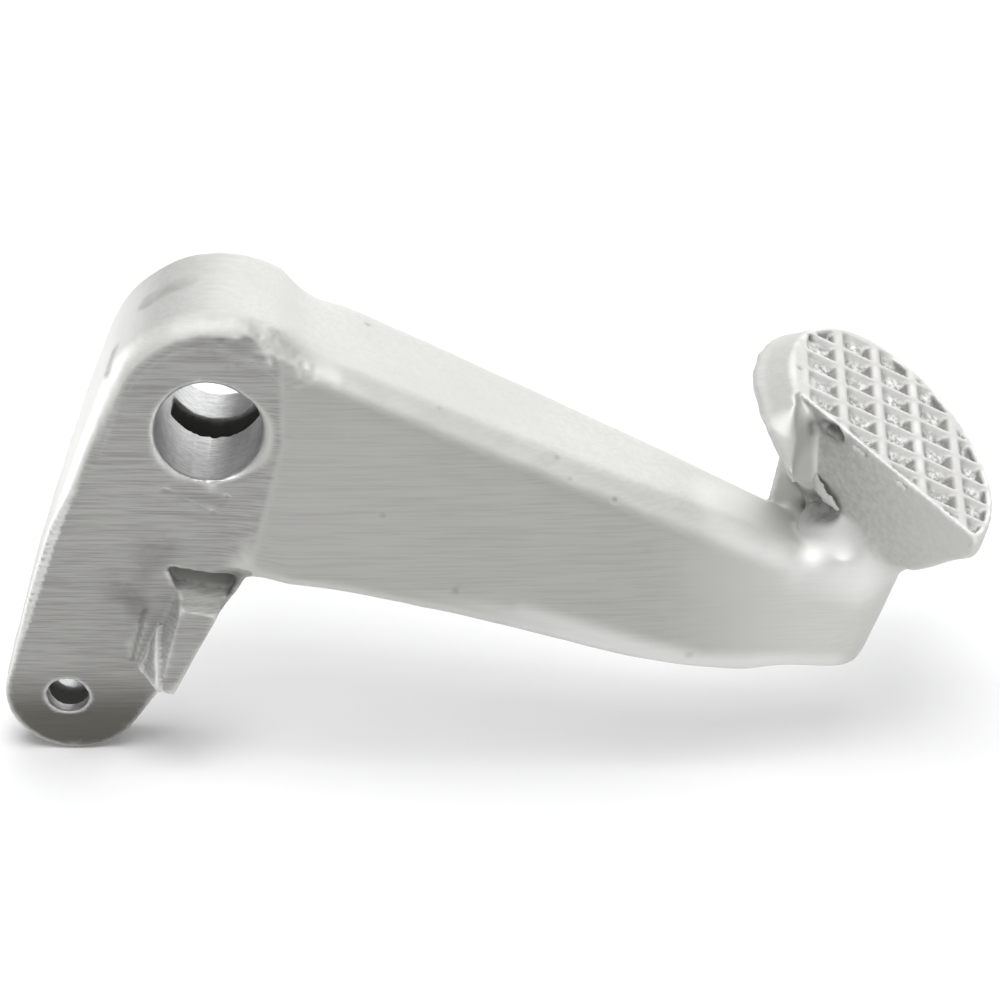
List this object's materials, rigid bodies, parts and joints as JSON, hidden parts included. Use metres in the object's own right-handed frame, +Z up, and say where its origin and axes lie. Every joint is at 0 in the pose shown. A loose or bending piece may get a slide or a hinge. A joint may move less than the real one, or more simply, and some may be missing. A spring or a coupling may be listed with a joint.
{
  "type": "scooter brake pedal",
  "caption": "Cast foot lever with a bored pivot hub, a forked cable leg, a hollow tapering arm and a tilted oval foot pad with a waffle tread; turned by foot to pull a brake cable.",
  "frame": {"origin": "middle of the pivot bore, halfway between its two end faces", "axes": "+Y along the pivot bore away from the lug side, +X from the pivot towards the foot pad, +Z up with the arm sloping down as it is seen in the picture"},
  "size_m": [0.1506, 0.0616, 0.0784],
  "materials": {
    "cast_aluminium": "bare casting, linished by hand to a satin sheen"
  },
  "bodies": {
    "root": {"brake_pedal": "cast_aluminium"}
  },
  "joints": []
}
